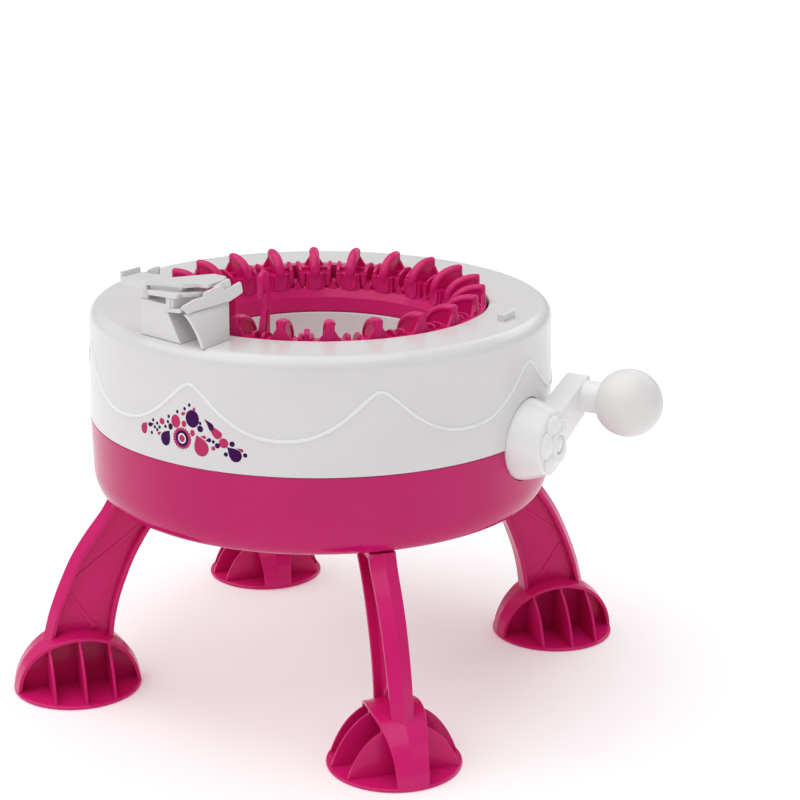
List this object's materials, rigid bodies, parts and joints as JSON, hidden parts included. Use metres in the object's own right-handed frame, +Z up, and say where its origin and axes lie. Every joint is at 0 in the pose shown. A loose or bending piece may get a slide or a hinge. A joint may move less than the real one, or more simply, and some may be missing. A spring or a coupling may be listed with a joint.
{
  "type": "circular knitting machine",
  "caption": "Hand-cranked circular knitting machine: round casing on four arched legs, rotating crown with sliding hooked needles, yarn guide and ball-knob crank.",
  "frame": {"origin": "centre of the bounding box at the soles of the feet", "axes": "+X along the crank axis, outward; +Z up; +Y completes a right-handed frame"},
  "size_m": [0.2819, 0.2402, 0.2135],
  "materials": {
    "white_abs": "glossy moulded, warm white",
    "pink_abs": "glossy moulded, magenta pink",
    "zinc_steel": "zinc plated",
    "brass_wire": "drawn wire"
  },
  "bodies": {
    "base": {"upper_casing": "white_abs", "lower_casing": "pink_abs", "inner_sleeve": "white_abs", "cam_ring": "white_abs", "bearing_bracket": "white_abs", "leg_right_back": "pink_abs", "leg_left_back": "pink_abs", "leg_left_front": "pink_abs", "leg_right_front": "pink_abs", "leg_screw_right_back": "zinc_steel", "leg_screw_left_back": "zinc_steel", "leg_screw_left_front": "zinc_steel", "leg_screw_right_front": "zinc_steel", "casing_screw_1": "zinc_steel", "casing_screw_2": "zinc_steel", "casing_screw_3": "zinc_steel", "casing_screw_4": "zinc_steel", "yarn_guide_base": "white_abs", "yarn_guide_bracket": "white_abs", "yarn_guide_top": "white_abs", "yarn_feeder": "white_abs"},
    "cylinder": {"needle_cylinder": "pink_abs", "ring_gear": "white_abs", "retaining_wire": "brass_wire"},
    "crank": {"crank_arm": "white_abs", "flower_cap": "white_abs", "crank_shaft": "zinc_steel", "drive_pinion": "white_abs", "knob_pin": "zinc_steel"},
    "knob_ball": {"knob": "white_abs"},
    "needle_01": {"needle_01": "pink_abs"},
    "needle_02": {"needle_02": "pink_abs"},
    "needle_03": {"needle_03": "pink_abs"},
    "needle_04": {"needle_04": "pink_abs"},
    "needle_05": {"needle_05": "pink_abs"},
    "needle_06": {"needle_06": "pink_abs"},
    "needle_07": {"needle_07": "pink_abs"},
    "needle_08": {"needle_08": "pink_abs"},
    "needle_09": {"needle_09": "pink_abs"},
    "needle_10": {"needle_10": "pink_abs"},
    "needle_11": {"needle_11": "pink_abs"},
    "needle_12": {"needle_12": "pink_abs"},
    "needle_13": {"needle_13": "pink_abs"},
    "needle_14": {"needle_14": "pink_abs"},
    "needle_15": {"needle_15": "pink_abs"},
    "needle_16": {"needle_16": "pink_abs"},
    "needle_17": {"needle_17": "pink_abs"},
    "needle_18": {"needle_18": "pink_abs"},
    "needle_19": {"needle_19": "pink_abs"},
    "needle_20": {"needle_20": "pink_abs"},
    "needle_21": {"needle_21": "pink_abs"},
    "needle_22": {"needle_22": "pink_abs"}
  },
  "joints": [
    {"name": "cylinder_turn", "type": "hinge", "parent": "base", "child": "cylinder", "pos_m": [-0.02086, 0, 0.14], "axis": [0, 0, 1], "continuous": true},
    {"name": "crank_turn", "type": "hinge", "parent": "base", "child": "crank", "pos_m": [0.08914, 0, 0.1323], "axis": [1, 0, 0], "continuous": true},
    {"name": "knob_spin", "type": "hinge", "parent": "crank", "child": "knob_ball", "pos_m": [0.12494, 0.03527, 0.14589], "axis": [1, 0, 0], "continuous": true},
    {"name": "needle_01_lift", "type": "slide", "parent": "cylinder", "child": "needle_01", "axis": [0, 0, 1], "range_m": [0, 0.0345]},
    {"name": "needle_02_lift", "type": "slide", "parent": "cylinder", "child": "needle_02", "axis": [0, 0, 1], "range_m": [0, 0.0345]},
    {"name": "needle_03_lift", "type": "slide", "parent": "cylinder", "child": "needle_03", "axis": [0, 0, 1], "range_m": [0, 0.0345]},
    {"name": "needle_04_lift", "type": "slide", "parent": "cylinder", "child": "needle_04", "axis": [0, 0, 1], "range_m": [0, 0.0345]},
    {"name": "needle_05_lift", "type": "slide", "parent": "cylinder", "child": "needle_05", "axis": [0, 0, 1], "range_m": [0, 0.0345]},
    {"name": "needle_06_lift", "type": "slide", "parent": "cylinder", "child": "needle_06", "axis": [0, 0, 1], "range_m": [0, 0.0345]},
    {"name": "needle_07_lift", "type": "slide", "parent": "cylinder", "child": "needle_07", "axis": [0, 0, 1], "range_m": [0, 0.0345]},
    {"name": "needle_08_lift", "type": "slide", "parent": "cylinder", "child": "needle_08", "axis": [0, 0, 1], "range_m": [0, 0.0345]},
    {"name": "needle_09_lift", "type": "slide", "parent": "cylinder", "child": "needle_09", "axis": [0, 0, 1], "range_m": [0, 0.0345]},
    {"name": "needle_10_lift", "type": "slide", "parent": "cylinder", "child": "needle_10", "axis": [0, 0, 1], "range_m": [0, 0.0345]},
    {"name": "needle_11_lift", "type": "slide", "parent": "cylinder", "child": "needle_11", "axis": [0, 0, 1], "range_m": [0, 0.0345]},
    {"name": "needle_12_lift", "type": "slide", "parent": "cylinder", "child": "needle_12", "axis": [0, 0, 1], "range_m": [0, 0.0345]},
    {"name": "needle_13_lift", "type": "slide", "parent": "cylinder", "child": "needle_13", "axis": [0, 0, 1], "range_m": [0, 0.0345]},
    {"name": "needle_14_lift", "type": "slide", "parent": "cylinder", "child": "needle_14", "axis": [0, 0, 1], "range_m": [0, 0.0345]},
    {"name": "needle_15_lift", "type": "slide", "parent": "cylinder", "child": "needle_15", "axis": [0, 0, 1], "range_m": [-0.00798, 0.02652]},
    {"name": "needle_16_lift", "type": "slide", "parent": "cylinder", "child": "needle_16", "axis": [0, 0, 1], "range_m": [-0.01752, 0.01698]},
    {"name": "needle_17_lift", "type": "slide", "parent": "cylinder", "child": "needle_17", "axis": [0, 0, 1], "range_m": [-0.0275, 0.007]},
    {"name": "needle_18_lift", "type": "slide", "parent": "cylinder", "child": "needle_18", "axis": [0, 0, 1], "range_m": [-0.03448, 0.00002]},
    {"name": "needle_19_lift", "type": "slide", "parent": "cylinder", "child": "needle_19", "axis": [0, 0, 1], "range_m": [-0.00897, 0.02553]},
    {"name": "needle_20_lift", "type": "slide", "parent": "cylinder", "child": "needle_20", "axis": [0, 0, 1], "range_m": [0, 0.0345]},
    {"name": "needle_21_lift", "type": "slide", "parent": "cylinder", "child": "needle_21", "axis": [0, 0, 1], "range_m": [0, 0.0345]},
    {"name": "needle_22_lift", "type": "slide", "parent": "cylinder", "child": "needle_22", "axis": [0, 0, 1], "range_m": [0, 0.0345]}
  ],
  "couplings": [
    {"joint": "crank_turn", "follows": "cylinder_turn", "ratio": -6}
  ]
}
